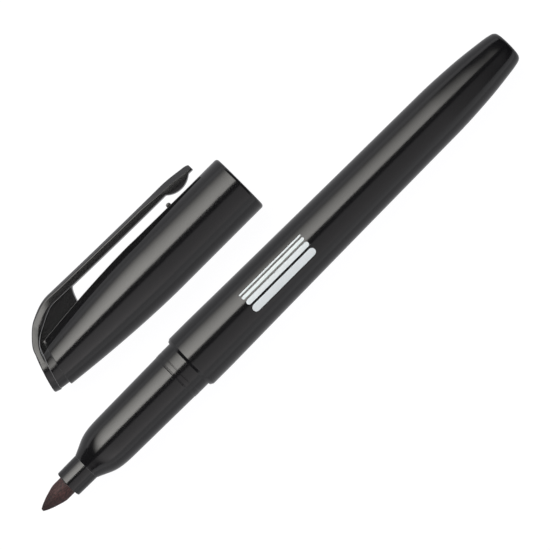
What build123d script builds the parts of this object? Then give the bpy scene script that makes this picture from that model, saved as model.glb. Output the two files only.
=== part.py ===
"""Felt tip marker with its cap pulled off and lying beside it.

Frame: +X runs along the pen from the writing tip to the tail, +Y points from the pen to the cap,
+Z is up. The origin is under the middle of the whole object's box, on the surface it lies on.
All sizes are in millimetres. "Station" means a distance along X from the writing tip.
"""

import os
from math import cos, radians, sin, sqrt

from build123d import *

# ---------------------------------------------------------------- pen, driving dimensions
PEN_LENGTH = 128.0            # writing tip to tail face
NIB_EXPOSED = 7.1             # felt standing out of the nozzle
NIB_RADIUS = 2.0
NIB_GRIND = 5.2               # length of the ground bullet
NIB_TIP_RADIUS = 0.35         # small flat left by the grinding wheel
NIB_KNOTS = ((0.23, 0.44), (0.52, 0.715))       # shares of the ground length and of the radius
NIB_LENGTH = 33.0
NIB_TAIL_TAPER = 3.0          # pointed rear end that enters the fibre core
NIB_TAIL_RADIUS = 1.2
NIB_CLEARANCE = 0.02          # felt in its moulded hole and in the core
NIB_END_ROOM = 0.3            # core bored this much deeper than the felt reaches

CORE_RADIUS = 4.14            # fibre core; the pen's radii are built up from it
FILM_THICKNESS = 0.06         # plastic film wound round the core
FILM_CLEARANCE = 0.05         # film to the inside of the spigot
CORE_FRONT_GAP = 1.0          # core to the front wall of its chamber
CORE_TAIL_GAP = 1.0           # core's end ahead of the tail's taper
BREATHER_RADIUS = 0.45
BREATHER_BORE = 0.22
BREATHER_CLEARANCE = 0.02
BREATHER_EDGE = 0.35          # fibre left between the breather tube and the film

NOZZLE_WALL = 0.98
NOZZLE_LENGTH = 5.05
NOZZLE_DRAFT = 0.06           # how much thinner the nozzle is at its front
SHOULDER_STEP = 0.09          # ogive's start stands this proud of the nozzle
OGIVE_LENGTH = 8.25
OGIVE_KNOTS = ((0.16, 0.28), (0.40, 0.705), (0.64, 0.92))   # shares of its length and of its rise
OGIVE_START_SLOPE = 0.35
GRIP_LENGTH = 20.0            # ogive's end to the barrel's collar
GRIP_TAPER = 0.30             # grip thinner at the ogive than at the cap's land
SEAT_LENGTH = 3.8             # straight land that the cap grips
RING_DEPTH = 0.10             # two fine grooves turned into the land
RING_WIDTH = 0.26
RING_PITCH = 1.05
RING_TO_COLLAR = 2.4
NIB_SLEEVE_LENGTH = 16.0      # length of the moulded hole behind the nozzle's mouth
SPIGOT_LENGTH = 10.0          # part of the front section pressed into the barrel
SPIGOT_WALL = 0.65
SPIGOT_STEP = 0.51            # land stands this proud of the spigot

COLLAR_STEP = 0.74            # barrel's collar above the cap's land
COLLAR_LENGTH = 5.6           # straight stretch behind the collar's face
COLLAR_EDGE = 0.30
BARREL_ROOM = 0.20            # barrel's bore wider than the spigot's
BARREL_WALL = 0.95
BARREL_SAG = 0.06             # long side hollower than a straight cone
BARREL_SLOPE = 0.012          # fall per millimetre at both ends of the long side
TAIL_LENGTH = 19.0
TAIL_FALL = 1.65              # radius lost along the tail
TAIL_KNOTS = ((0.45, 0.25), (0.74, 0.6))        # shares of the tail's length and of its fall
TAIL_END_SLOPE = 0.28
TAIL_EDGE = 0.9
TAIL_EDGE_FULLNESS = 1.05     # 1 would round the tail's edge by a quarter circle
TAIL_WALL = 1.6
STOP_RIB_COUNT = 6
STOP_RIB_LENGTH = 5.0
STOP_RIB_WIDTH = 0.7
STOP_RIB_HEIGHT = 1.78
STOP_RIB_ROOT = 0.3           # rib sunk into the barrel's wall

# ---------------------------------------------------------------- cap, driving dimensions
CAP_BORE_CLEARANCE = 0.05     # cap bore over the seat land
CAP_BORE_LENGTH = 21.0
CAP_SKIRT_WALL = 1.02
CAP_STRAIGHT = 22.35          # straight outside behind the mouth
CAP_END_ROOM = 7.35           # liner's back to the middle of the cap's slanted end
CAP_TAPER_CURVE = 1.7         # 1 would be a straight cone
CAP_TAPER_FALL = 1.84         # radius lost along the taper
CAP_TAPER_WALL = 1.05
CAP_END_SLANT = 12.0          # degrees that the closed end leans
CAP_MOUTH_EDGE = 0.60         # rounding of the mouth's rim
CAP_OFFSET = 17.9             # cap axis from the pen axis, as the two lie
CAP_MOUTH_STATION = 72.35     # where the mouth lies beside the pen

SEAL_FIT = 0.02               # liner in the cap's tapered bore
SEAL_CLEARANCE = 0.10         # nozzle in the liner's bore
SEAL_LEAD = 1.0               # flared way in
SEAL_FLARE = 0.6
SEAL_SHOULDER_GAP = 0.2       # liner's mouth to the pen's shoulder when the cap is on
SEAL_TIP_ROOM = 1.6           # free length ahead of the felt when the cap is on
SEAL_FLOOR = 0.6

PAD_RISE = 0.28               # flat-topped pad above the tapered wall, at the closed end
PAD_ROOT_WIDTH = 6.1
PAD_WIDTH = 7.4               # at the shoulder
PAD_TIP_WIDTH = 5.0
PAD_TIP_DROP = 0.15           # pad's top below the skirt at its mouth end
PAD_TIP_GAP = 4.8             # pad's mouth end to the cap's mouth
NUB_FROM_BALL = 4.1           # grip nub from the clip's ball
NUB_HEIGHT = 0.65
NUB_LENGTH = 1.0
NUB_WIDTH = 3.0

PLUG_LENGTH = 3.0             # clip moulding's plug inside the cap's end
PLUG_WALL = 0.8
PLUG_FIT = 0.02
NECK_LENGTH = 1.78            # recessed ring between the cap and the end plate
NECK_STEP = 0.60              # neck below the cap's end corner
NECK_DRAFT = 0.45
PLATE_THICKNESS = 1.40
PLATE_SLANT = 18.3
PLATE_RADIUS = 4.60
PLATE_SHIFT = 0.50            # plate's centre from the cap's axis, towards the clip

CLIP_THICKNESS = 2.05
CLIP_ARCH = 0.52              # crest above the level front half of the outer face
CLIP_CREST_FROM_END = 7.8     # crest from the cap's closed end
CLIP_LEVEL_LENGTH = 30.0      # crest to the level stretch's end
CLIP_ROOT_WIDTH = 5.6
CLIP_TIP_WIDTH = 4.6
CLIP_CROWN = 0.55             # how much the outer face falls away to its two sides
CLIP_TIP_FROM_BALL = 4.15
CLIP_TIP_DROP = 0.70          # outer face falls this much from the ball to the tip
CLIP_TIP_FACE = 0.95
CLIP_TIP_KNOTS = ((0.55, 0.02), (2.1, 0.26))    # rounded tip: back from its end, above its top
CLIP_FALL_BEFORE_BALL = 1.9   # outer face starts to fall this far ahead of the ball
CLIP_ARCH_CURVE = 1.6         # 1 would be a straight fall from the crest
CURL_KNOTS = ((1.5, 2.25), (4.3, 4.6))          # outside of the curl: along and out from the plate's top
CURL_INNER_KNOT = (3.1, 2.7)                    # inside of the curl
BALL_TO_MOUTH = 8.95
BALL_HALF_LENGTH = 3.1
BALL_DROP = 1.25              # ball below the arm's inner face
BALL_GAP = 0.67               # ball above the skirt
HINGE_FROM_CREST = 6.0        # where the arm bends
HINGE_CLEARANCE = 0.05
WEB_WIDTH = 3.8               # solid gusset between the clip and the cap
WEB_GAP = 0.02                # gusset's foot above the pad
WEB_FOOT_BACK = 1.6           # gusset's foot ends this far ahead of its top

# ---------------------------------------------------------------- worked-out radii and stations
CORE_CHAMBER = CORE_RADIUS + FILM_THICKNESS + FILM_CLEARANCE
SPIGOT_RADIUS = CORE_CHAMBER + SPIGOT_WALL
SEAT_RADIUS = SPIGOT_RADIUS + SPIGOT_STEP
COLLAR_RADIUS = SEAT_RADIUS + COLLAR_STEP
OGIVE_RADIUS = SEAT_RADIUS - GRIP_TAPER
BARREL_BORE = CORE_CHAMBER + BARREL_ROOM
BARREL_END_RADIUS = BARREL_BORE + BARREL_WALL
TAIL_END_RADIUS = BARREL_END_RADIUS - TAIL_FALL
NIB_HOLE = NIB_RADIUS + NIB_CLEARANCE
NOZZLE_RADIUS = NIB_RADIUS + NOZZLE_WALL
SHOULDER_RADIUS = NOZZLE_RADIUS + SHOULDER_STEP
CAP_BORE = SEAT_RADIUS + CAP_BORE_CLEARANCE
CAP_RADIUS = CAP_BORE + CAP_SKIRT_WALL
CAP_END_RADIUS = CAP_RADIUS - CAP_TAPER_FALL
SEAL_BORE = NOZZLE_RADIUS + SEAL_CLEARANCE
CLIP_LEVEL = CAP_RADIUS + BALL_GAP + BALL_DROP + CLIP_THICKNESS
CLIP_CREST = CLIP_LEVEL + CLIP_ARCH

NOZZLE_BACK = NIB_EXPOSED + NOZZLE_LENGTH
OGIVE_BACK = NOZZLE_BACK + OGIVE_LENGTH
COLLAR_FACE = OGIVE_BACK + GRIP_LENGTH
SEAT_FRONT = COLLAR_FACE - SEAT_LENGTH
SPIGOT_BACK = COLLAR_FACE + SPIGOT_LENGTH
TAIL_START = PEN_LENGTH - TAIL_LENGTH
CHAMBER_FRONT = NIB_EXPOSED + NIB_SLEEVE_LENGTH
CORE_FRONT = CHAMBER_FRONT + CORE_FRONT_GAP
CORE_BACK = TAIL_START - CORE_TAIL_GAP

CAP_SHOULDER_STATION = CAP_MOUTH_STATION - CAP_STRAIGHT
CAP_SHIFT = CAP_MOUTH_STATION - COLLAR_FACE     # how far the cap lies back from where it fits
SEAL_MOUTH = NOZZLE_BACK + CAP_SHIFT - SEAL_SHOULDER_GAP
SEAL_END = CAP_SHIFT - SEAL_TIP_ROOM
CAP_END_STATION = SEAL_END - SEAL_FLOOR - CAP_END_ROOM
CAP_TAPER_LENGTH = CAP_SHOULDER_STATION - CAP_END_STATION
CLIP_CREST_STATION = CAP_END_STATION + CLIP_CREST_FROM_END
HINGE_STATION = CLIP_CREST_STATION + HINGE_FROM_CREST
BALL_STATION = CAP_MOUTH_STATION - BALL_TO_MOUTH
CLIP_TIP_STATION = BALL_STATION + CLIP_TIP_FROM_BALL

BOX_X = PEN_LENGTH / 2
BOX_Y = (CAP_OFFSET + CLIP_CREST - COLLAR_RADIUS) / 2
PEN_HEIGHT = COLLAR_RADIUS
CAP_HEIGHT = CAP_RADIUS


# ---------------------------------------------------------------- helpers
def turned(outline, axis_y, axis_z):
    """Solid of revolution from a closed wire drawn as (station, radius), about its own axis."""
    face = make_face(Plane.XY * outline)
    solid = revolve(face, Axis.X, 360)
    return Pos(-BOX_X, axis_y - BOX_Y, axis_z) * solid


def pen_turned(outline):
    """Turned piece on the pen's axis."""
    return turned(outline, 0, PEN_HEIGHT)


def cap_turned(outline):
    """Turned piece on the cap's axis."""
    return turned(outline, CAP_OFFSET, CAP_HEIGHT)


def cap_placed(shape):
    """Put a shape drawn about the cap's axis, with stations along X, where the cap lies."""
    return Pos(-BOX_X, CAP_OFFSET - BOX_Y, CAP_HEIGHT) * shape


def closed(*edges):
    """One closed wire from edges given end to end."""
    return Wire(list(edges))


def ring(back, front, outer, inner):
    """Straight tube outline from station front to back."""
    return Polyline((front, inner), (front, outer), (back, outer), (back, inner), close=True)


# ---------------------------------------------------------------- pen pieces
def make_nib():
    """Bullet nib: a ground felt stick with a pointed rear end."""
    knots = [(NIB_GRIND * along, NIB_RADIUS * out) for along, out in NIB_KNOTS]
    ground = Spline(
        (0, NIB_TIP_RADIUS), *knots, (NIB_GRIND, NIB_RADIUS), tangents=[(0.5, 1), (1, 0)],
    )
    taper = NIB_LENGTH - NIB_TAIL_TAPER
    rest = Polyline(
        (NIB_GRIND, NIB_RADIUS), (taper, NIB_RADIUS), (NIB_LENGTH, NIB_TAIL_RADIUS),
        (NIB_LENGTH, 0), (0, 0), (0, NIB_TIP_RADIUS),
    )
    return pen_turned(closed(ground, *rest.edges()))


def make_front_section():
    """Nose moulding: nozzle, ogive, grip with two fine grooves, cap land and press-in spigot."""
    rise = OGIVE_RADIUS - SHOULDER_RADIUS
    knots = [(NOZZLE_BACK + OGIVE_LENGTH * along, SHOULDER_RADIUS + rise * out) for along, out in OGIVE_KNOTS]
    ogive = Spline(
        (NOZZLE_BACK, SHOULDER_RADIUS), *knots, (OGIVE_BACK, OGIVE_RADIUS),
        tangents=[(1, OGIVE_START_SLOPE), (1, GRIP_TAPER / (GRIP_LENGTH - SEAT_LENGTH))],
    )
    rest = Polyline(
        (OGIVE_BACK, OGIVE_RADIUS), (SEAT_FRONT, SEAT_RADIUS), (COLLAR_FACE, SEAT_RADIUS),
        (COLLAR_FACE, SPIGOT_RADIUS), (SPIGOT_BACK, SPIGOT_RADIUS), (SPIGOT_BACK, CORE_CHAMBER),
        (CHAMBER_FRONT, CORE_CHAMBER), (CHAMBER_FRONT, NIB_HOLE), (NIB_EXPOSED, NIB_HOLE),
        (NIB_EXPOSED, NOZZLE_RADIUS - NOZZLE_DRAFT), (NOZZLE_BACK, NOZZLE_RADIUS),
        (NOZZLE_BACK, SHOULDER_RADIUS),
    )
    body = pen_turned(closed(ogive, *rest.edges()))
    for place in range(2):
        middle = COLLAR_FACE - RING_TO_COLLAR - place * RING_PITCH
        back = middle + RING_WIDTH / 2
        groove = ring(back, back - RING_WIDTH, SEAT_RADIUS + 1, SEAT_RADIUS - RING_DEPTH)
        body -= pen_turned(groove)
    return body


def make_barrel():
    """Ink barrel: one moulding, open at the collar and closed at the tail."""
    collar_back = COLLAR_FACE + COLLAR_LENGTH
    long_side = Spline(
        (collar_back, COLLAR_RADIUS),
        ((collar_back + TAIL_START) / 2, (COLLAR_RADIUS + BARREL_END_RADIUS) / 2 - BARREL_SAG),
        (TAIL_START, BARREL_END_RADIUS),
        tangents=[(1, -BARREL_SLOPE), (1, -BARREL_SLOPE)],
    )
    tail_corner = (PEN_LENGTH - TAIL_EDGE, TAIL_END_RADIUS)
    knots = [
        (TAIL_START + TAIL_LENGTH * along, BARREL_END_RADIUS - TAIL_FALL * fall)
        for along, fall in TAIL_KNOTS
    ]
    tail = Spline(
        (TAIL_START, BARREL_END_RADIUS), *knots, tail_corner,
        tangents=[(1, -BARREL_SLOPE), (1, -TAIL_END_SLOPE)],
    )
    tail_rim = (PEN_LENGTH, TAIL_END_RADIUS - TAIL_EDGE)
    rounding = RadiusArc(tail_corner, tail_rim, TAIL_EDGE * TAIL_EDGE_FULLNESS)
    collar_rim = (COLLAR_FACE, COLLAR_RADIUS - COLLAR_EDGE)
    edge = RadiusArc(collar_rim, (COLLAR_FACE + COLLAR_EDGE, COLLAR_RADIUS), COLLAR_EDGE)
    inner_end = PEN_LENGTH - TAIL_WALL
    rest = Polyline(
        tail_rim, (PEN_LENGTH, 0), (inner_end, 0),
        (inner_end, TAIL_END_RADIUS - BARREL_WALL), (TAIL_START, BARREL_BORE), (SPIGOT_BACK, BARREL_BORE),
        (SPIGOT_BACK, SPIGOT_RADIUS), (COLLAR_FACE, SPIGOT_RADIUS), collar_rim,
    )
    front = Line((COLLAR_FACE + COLLAR_EDGE, COLLAR_RADIUS), (collar_back, COLLAR_RADIUS))
    body = pen_turned(closed(edge, front, long_side, tail, rounding, *rest.edges()))
    return body + make_stop_ribs()


def make_stop_ribs():
    """Ribs inside the tail that the fibre core stops against."""
    height = STOP_RIB_HEIGHT + STOP_RIB_ROOT
    ribs = []
    for place in range(STOP_RIB_COUNT):
        rib = Box(STOP_RIB_LENGTH, height, STOP_RIB_WIDTH)
        rib = Pos(CORE_BACK + STOP_RIB_LENGTH / 2, BARREL_BORE + STOP_RIB_ROOT - height / 2, 0) * rib
        ribs.append(Rot(360 * place / STOP_RIB_COUNT, 0, 0) * rib)
    return [Pos(-BOX_X, -BOX_Y, PEN_HEIGHT) * rib for rib in ribs]


def breather_place():
    """Middle of the breather tube, just inside the core's top edge."""
    rise = CORE_RADIUS - BREATHER_EDGE - BREATHER_RADIUS
    return Pos((CORE_FRONT + CORE_BACK) / 2 - BOX_X, -BOX_Y, PEN_HEIGHT + rise)


def make_ink_reservoir():
    """Fibre core, bored at its front for the felt and along one side for the breather tube."""
    core = pen_turned(Polyline(
        (CORE_FRONT, 0), (CORE_FRONT, CORE_RADIUS), (CORE_BACK, CORE_RADIUS), (CORE_BACK, 0), close=True,
    ))
    hole_back = NIB_LENGTH + NIB_END_ROOM
    core -= pen_turned(Polyline(
        (CORE_FRONT - 1, 0), (CORE_FRONT - 1, NIB_HOLE), (hole_back, NIB_HOLE), (hole_back, 0), close=True,
    ))
    length = CORE_BACK - CORE_FRONT
    channel = Rot(0, 90, 0) * Cylinder(BREATHER_RADIUS + BREATHER_CLEARANCE, length + 2)
    return core - breather_place() * channel


def make_reservoir_film():
    """Film wound round the fibre core."""
    return pen_turned(ring(CORE_BACK, CORE_FRONT, CORE_RADIUS + FILM_THICKNESS, CORE_RADIUS))


def make_breather_tube():
    """Thin tube that lets air past the ink."""
    length = CORE_BACK - CORE_FRONT
    tube = Rot(0, 90, 0) * (Cylinder(BREATHER_RADIUS, length) - Cylinder(BREATHER_BORE, length))
    return breather_place() * tube


# ---------------------------------------------------------------- cap pieces
def taper_radius(station, inset=0.0):
    """Outside radius of the cap's tapered stretch at a station, less an inset."""
    along = max((CAP_SHOULDER_STATION - station) / CAP_TAPER_LENGTH, 0.0)
    return CAP_RADIUS - CAP_TAPER_FALL * along ** CAP_TAPER_CURVE - inset


def taper_edge(back, front, inset=0.0):
    """Curve along the tapered stretch, drawn from the station nearer the mouth to the other."""
    steps = 5
    points = []
    for step in range(steps + 1):
        station = front + (back - front) * step / steps
        points.append((station, taper_radius(station, inset)))
    return Spline(*points)


def end_blade(station, slant, keep_mouth_side=True):
    """Large block with one face on the slanted plane through the cap's axis at a station."""
    size = 60.0
    shift = size / 2 if keep_mouth_side else -size / 2
    return Pos(station, 0, 0) * Rot(0, 0, -slant) * Pos(shift, 0, 0) * Box(size, size, size)


def pad_top(station):
    """Pad's flat top from the cap's axis, along the tapered stretch."""
    along = max((CAP_SHOULDER_STATION - station) / CAP_TAPER_LENGTH, 0.0)
    return taper_radius(station) + PAD_RISE * sqrt(along)


def make_pad():
    """Flat-topped pad along the cap under the clip, widest at the shoulder, with a square end."""
    end = CAP_MOUTH_STATION - PAD_TIP_GAP
    start = CAP_END_STATION - 4.0
    deep = CAP_RADIUS * 0.45
    plan = Polyline(
        (start, -PAD_ROOT_WIDTH / 2), (start, PAD_ROOT_WIDTH / 2),
        (CAP_SHOULDER_STATION, PAD_WIDTH / 2), (end, PAD_TIP_WIDTH / 2),
        (end, -PAD_TIP_WIDTH / 2), (CAP_SHOULDER_STATION, -PAD_WIDTH / 2), close=True,
    )
    block = Rot(90, 0, 0) * extrude(make_face(plan), CAP_RADIUS + 3, both=True)
    steps = 6
    crest = []
    for step in range(steps + 1):
        station = start + (CAP_SHOULDER_STATION - start) * step / steps
        crest.append((station, pad_top(station)))
    rest = Polyline(
        (CAP_SHOULDER_STATION, CAP_RADIUS), (end, CAP_RADIUS - PAD_TIP_DROP),
        (end, deep), (start, deep), (start, pad_top(start)),
    )
    side = make_face(closed(Spline(*crest), *rest.edges()))
    return block & extrude(side, PAD_WIDTH, both=True)


def make_nub():
    """Small grip rib on the pad, just ahead of the clip's ball."""
    foot = CAP_RADIUS - 0.5
    top = CAP_RADIUS + NUB_HEIGHT
    half = NUB_LENGTH / 2
    outline = closed(
        *Polyline((-half, top - half), (-half, foot), (half, foot), (half, top - half)).edges(),
        ThreePointArc((half, top - half), (0, top), (-half, top - half)),
    )
    return Pos(BALL_STATION - NUB_FROM_BALL, 0, 0) * extrude(make_face(outline), NUB_WIDTH / 2, both=True)


def make_cap_shell():
    """Cap body: straight skirt, tapered stretch cut slanting at its end, pad and nub."""
    far = CAP_END_STATION - 4.0
    edge = CAP_MOUTH_EDGE
    wall_start = CAP_MOUTH_STATION - CAP_BORE_LENGTH
    step_radius = taper_radius(wall_start, CAP_TAPER_WALL)
    rim = (CAP_MOUTH_STATION, CAP_RADIUS - edge)
    rounding = RadiusArc(rim, (CAP_MOUTH_STATION - edge, CAP_RADIUS), -edge)
    skirt = Line((CAP_MOUTH_STATION - edge, CAP_RADIUS), (CAP_SHOULDER_STATION, CAP_RADIUS))
    end = Line((far, taper_radius(far)), (far, taper_radius(far, CAP_TAPER_WALL)))
    bore = Polyline(
        (wall_start, step_radius), (wall_start, CAP_BORE), (CAP_MOUTH_STATION, CAP_BORE), rim,
    )
    outline = closed(
        rounding, skirt, taper_edge(far, CAP_SHOULDER_STATION), end,
        taper_edge(far, wall_start, CAP_TAPER_WALL), *bore.edges(),
    )
    shell = revolve(make_face(outline), Axis.X, 360)
    beyond = CAP_MOUTH_STATION + 5
    cavity = Polyline(
        (far, taper_radius(far, CAP_TAPER_WALL)), (far, 0), (beyond, 0), (beyond, CAP_BORE),
        (wall_start, CAP_BORE), (wall_start, step_radius),
    )
    cavity_outline = closed(taper_edge(far, wall_start, CAP_TAPER_WALL), *cavity.edges())
    hollow = revolve(make_face(cavity_outline), Axis.X, 360)
    shell = shell + ((make_pad() + make_nub()) - hollow)
    return cap_placed(shell & end_blade(CAP_END_STATION, CAP_END_SLANT))


def make_inner_seal():
    """Soft cup pressed into the tapered stretch; it closes round the nozzle."""
    back = SEAL_END - SEAL_FLOOR
    inset = CAP_TAPER_WALL + SEAL_FIT
    outline = closed(
        taper_edge(back, SEAL_MOUTH, inset),
        *Polyline(
            (back, taper_radius(back, inset)), (back, 0), (SEAL_END, 0), (SEAL_END, SEAL_BORE),
            (SEAL_MOUTH - SEAL_LEAD, SEAL_BORE), (SEAL_MOUTH, SEAL_BORE + SEAL_FLARE),
            (SEAL_MOUTH, taper_radius(SEAL_MOUTH, inset)),
        ).edges(),
    )
    return cap_turned(outline)


def clip_outer(station):
    """Clip's outer face from the cap's axis, between its crest and its ball."""
    along = min(max((station - CLIP_CREST_STATION) / CLIP_LEVEL_LENGTH, 0.0), 1.0)
    return CLIP_LEVEL + (CLIP_CREST - CLIP_LEVEL) * (1 - along) ** CLIP_ARCH_CURVE


def clip_edge(start, end, inset=0.0):
    """Curve along the clip's outer face, or below it by an inset, from one station to another."""
    steps = 4
    points = []
    for step in range(steps + 1):
        station = start + (end - start) * step / steps
        points.append((station, clip_outer(station) - inset))
    return Spline(*points)


def clip_envelope():
    """Long bar with a crowned top: the clip's width at each station."""
    flank = CLIP_CREST - CLIP_CROWN

    def section(half):
        return make_face(closed(
            *Polyline((-half, flank, 0), (-half, 0, 0), (half, 0, 0), (half, flank, 0)).edges(),
            ThreePointArc((half, flank, 0), (0, CLIP_CREST + 0.01, 0), (-half, flank, 0)),
        ))

    turn = Rot(0, 90, 0)
    root = Pos(CAP_END_STATION - 8.0, 0, 0) * turn * section(CLIP_ROOT_WIDTH / 2)
    tip = Pos(CLIP_TIP_STATION + 1.0, 0, 0) * turn * section(CLIP_TIP_WIDTH / 2)
    return loft([root, tip])


def make_clip_arm():
    """Springy arm with a rolled end at its root and a ball near its tip."""
    half = CLIP_THICKNESS / 2
    hinge = clip_outer(HINGE_STATION) - half
    ball_front = BALL_STATION - BALL_HALF_LENGTH
    ball_back = BALL_STATION + BALL_HALF_LENGTH
    inner = CLIP_LEVEL - CLIP_THICKNESS
    fall_start = BALL_STATION - CLIP_FALL_BEFORE_BALL
    tip_top = CLIP_LEVEL - CLIP_TIP_DROP
    tip_corner = (CLIP_TIP_STATION, inner + CLIP_TIP_FACE)
    root_middle = (HINGE_STATION - half, hinge)
    root = ThreePointArc((HINGE_STATION, hinge + half), root_middle, (HINGE_STATION, hinge - half))
    underside = clip_edge(HINGE_STATION, ball_front, CLIP_THICKNESS)
    ball_edge = (ball_front, clip_outer(ball_front) - CLIP_THICKNESS)
    ball = ThreePointArc(ball_edge, (BALL_STATION, inner - BALL_DROP), (ball_back, inner))
    tip = Polyline((ball_back, inner), (CLIP_TIP_STATION, inner), tip_corner)
    knots = [(CLIP_TIP_STATION - back, tip_top + rise) for back, rise in CLIP_TIP_KNOTS]
    nose = Spline(
        tip_corner, *knots, (fall_start, clip_outer(fall_start)), tangents=[(0, 1), (-1, 0)],
    )
    top = clip_edge(fall_start, HINGE_STATION)
    profile = make_face(closed(root, underside, ball, *tip.edges(), nose, top))
    return cap_placed(extrude(profile, CLIP_ROOT_WIDTH, both=True) & clip_envelope())


def plate_point(along, out):
    """Point on the end plate's inner plane: along it towards the clip, and outwards from it."""
    slant = radians(PLATE_SLANT)
    station = CAP_END_STATION - NECK_LENGTH + along * sin(slant) - out * cos(slant)
    return (station, along * cos(slant) + out * sin(slant))


def make_plug():
    """Hollow plug that the clip moulding is pressed into the cap's end by."""
    inset = CAP_TAPER_WALL + PLUG_FIT
    front = CAP_END_STATION - 0.8
    back = CAP_END_STATION + PLUG_LENGTH
    outer = taper_radius(back, inset)
    sides = Polyline((front, taper_radius(front, inset)), (front, 0), (back, 0), (back, outer))
    plug = revolve(make_face(closed(taper_edge(front, back, inset), *sides.edges())), Axis.X, 360)
    pocket = Rot(0, 90, 0) * Cylinder(outer - PLUG_WALL, PLUG_LENGTH)
    return plug - Pos(back, 0, 0) * pocket


def make_neck():
    """Recessed ring between the cap's slanted end and the plate."""
    back_radius = CAP_END_RADIUS - NECK_STEP
    front = CAP_END_STATION - NECK_LENGTH - 2.0
    back = CAP_END_STATION + 2.0
    slope = NECK_DRAFT / NECK_LENGTH
    outline = Polyline(
        (front, 0), (front, back_radius - slope * (CAP_END_STATION - front)),
        (back, back_radius + slope * (back - CAP_END_STATION)), (back, 0), close=True,
    )
    neck = revolve(make_face(outline), Axis.X, 360)
    neck &= end_blade(CAP_END_STATION, CAP_END_SLANT, keep_mouth_side=False)
    return neck & end_blade(CAP_END_STATION - NECK_LENGTH - 0.2, PLATE_SLANT)


def make_clip_base():
    """Clip moulding's fixed half: plug, recessed neck, end plate, curl-over and gusset."""
    half = CLIP_THICKNESS / 2
    hinge = clip_outer(HINGE_STATION) - half
    seat = half + HINGE_CLEARANCE
    lip = sqrt(seat ** 2 - half ** 2)
    lip_top = clip_outer(HINGE_STATION - lip)
    plate = Rot(0, 90, 0) * Cylinder(PLATE_RADIUS, PLATE_THICKNESS)
    plate = Pos(*plate_point(PLATE_SHIFT, PLATE_THICKNESS / 2)) * Rot(0, 0, -PLATE_SLANT) * plate

    upper = plate_point(PLATE_RADIUS, PLATE_THICKNESS)
    crest = (CLIP_CREST_STATION, CLIP_CREST)
    slant = radians(PLATE_SLANT)
    knots = [(upper[0] + along, upper[1] + out) for along, out in CURL_KNOTS]
    curl = Spline(upper, *knots, crest, tangents=[(sin(slant), cos(slant)), (1, 0)])
    crest_line = clip_edge(CLIP_CREST_STATION, HINGE_STATION - lip)
    lip_low = (HINGE_STATION - lip, hinge - half)
    socket = ThreePointArc((HINGE_STATION - lip, lip_top), (HINGE_STATION - seat, hinge), lip_low)
    toe = HINGE_STATION - seat - WEB_FOOT_BACK
    heel = CAP_END_STATION + (CAP_END_RADIUS + PAD_RISE) * sin(radians(CAP_END_SLANT)) - 0.3
    gusset = Spline(
        lip_low, (toe + WEB_FOOT_BACK * 0.47, (hinge - half + pad_top(toe)) / 2 + 0.35),
        (toe, pad_top(toe) + WEB_GAP), tangents=[(-1, 0), (-0.3, -1)],
    )
    foot = []
    for step in range(4):
        station = toe + (heel - toe) * step / 3
        foot.append((station, pad_top(station) + WEB_GAP))
    low = PLATE_RADIUS - 1.5
    back = Polyline(foot[-1], plate_point(low, 0), plate_point(low, PLATE_THICKNESS), upper)
    profile = make_face(closed(curl, crest_line, socket, gusset, Spline(*foot), *back.edges()))
    body = extrude(profile, CLIP_ROOT_WIDTH, both=True) & clip_envelope()
    for side in (-1, 1):
        body -= Pos(0, 0, side * (WEB_WIDTH + CLIP_ROOT_WIDTH) / 2) * make_web_pocket()
    return cap_placed(make_plug() + make_neck() + plate + body)


def make_web_pocket():
    """Space beside the gusset, which is thinner than the clip."""
    inner_crest = (CLIP_CREST_STATION, CLIP_CREST - CLIP_THICKNESS)
    start = plate_point(PLATE_RADIUS, -0.05)
    middle = (start[0] + CURL_INNER_KNOT[0], start[1] + CURL_INNER_KNOT[1])
    slant = radians(PLATE_SLANT)
    under = Spline(start, middle, inner_crest, tangents=[(sin(slant), cos(slant)), (1, 0)])
    front = HINGE_STATION - CLIP_THICKNESS / 2 - HINGE_CLEARANCE - 0.25
    rest = Polyline(
        inner_crest, (front, clip_outer(front) - CLIP_THICKNESS), (front, 0),
        plate_point(0, -0.05), start,
    )
    return extrude(make_face(closed(under, *rest.edges())), CLIP_ROOT_WIDTH / 2, both=True)


# ---------------------------------------------------------------- build and write
PIECES = {
    "nib": make_nib,
    "front_section": make_front_section,
    "barrel": make_barrel,
    "ink_reservoir": make_ink_reservoir,
    "reservoir_film": make_reservoir_film,
    "breather_tube": make_breather_tube,
    "cap_shell": make_cap_shell,
    "inner_seal": make_inner_seal,
    "clip_base": make_clip_base,
    "clip_arm": make_clip_arm,
}

os.makedirs("parts", exist_ok=True)
for name, make in PIECES.items():
    solid = make()
    export_step(solid, "parts/" + name + ".step")
    print(name, "volume", round(solid.volume, 2))
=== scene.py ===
"""Felt tip marker lying open with its cap beside it: moulded surfaces and finishes over the fixed frame.

The pen runs along X from its writing tip to its tail and the cap lies beside it on the +Y side.
Sizes are in millimetres. A station is a distance along X from the writing tip, and every piece is
placed from the boxes of the CAD nodes that it stands for.
"""

import logging
from collections.abc import Sequence
from dataclasses import dataclass, field
from enum import Enum
from math import atan, atan2, cos, dist, hypot, pi, radians, sin, sqrt, tan

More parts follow.
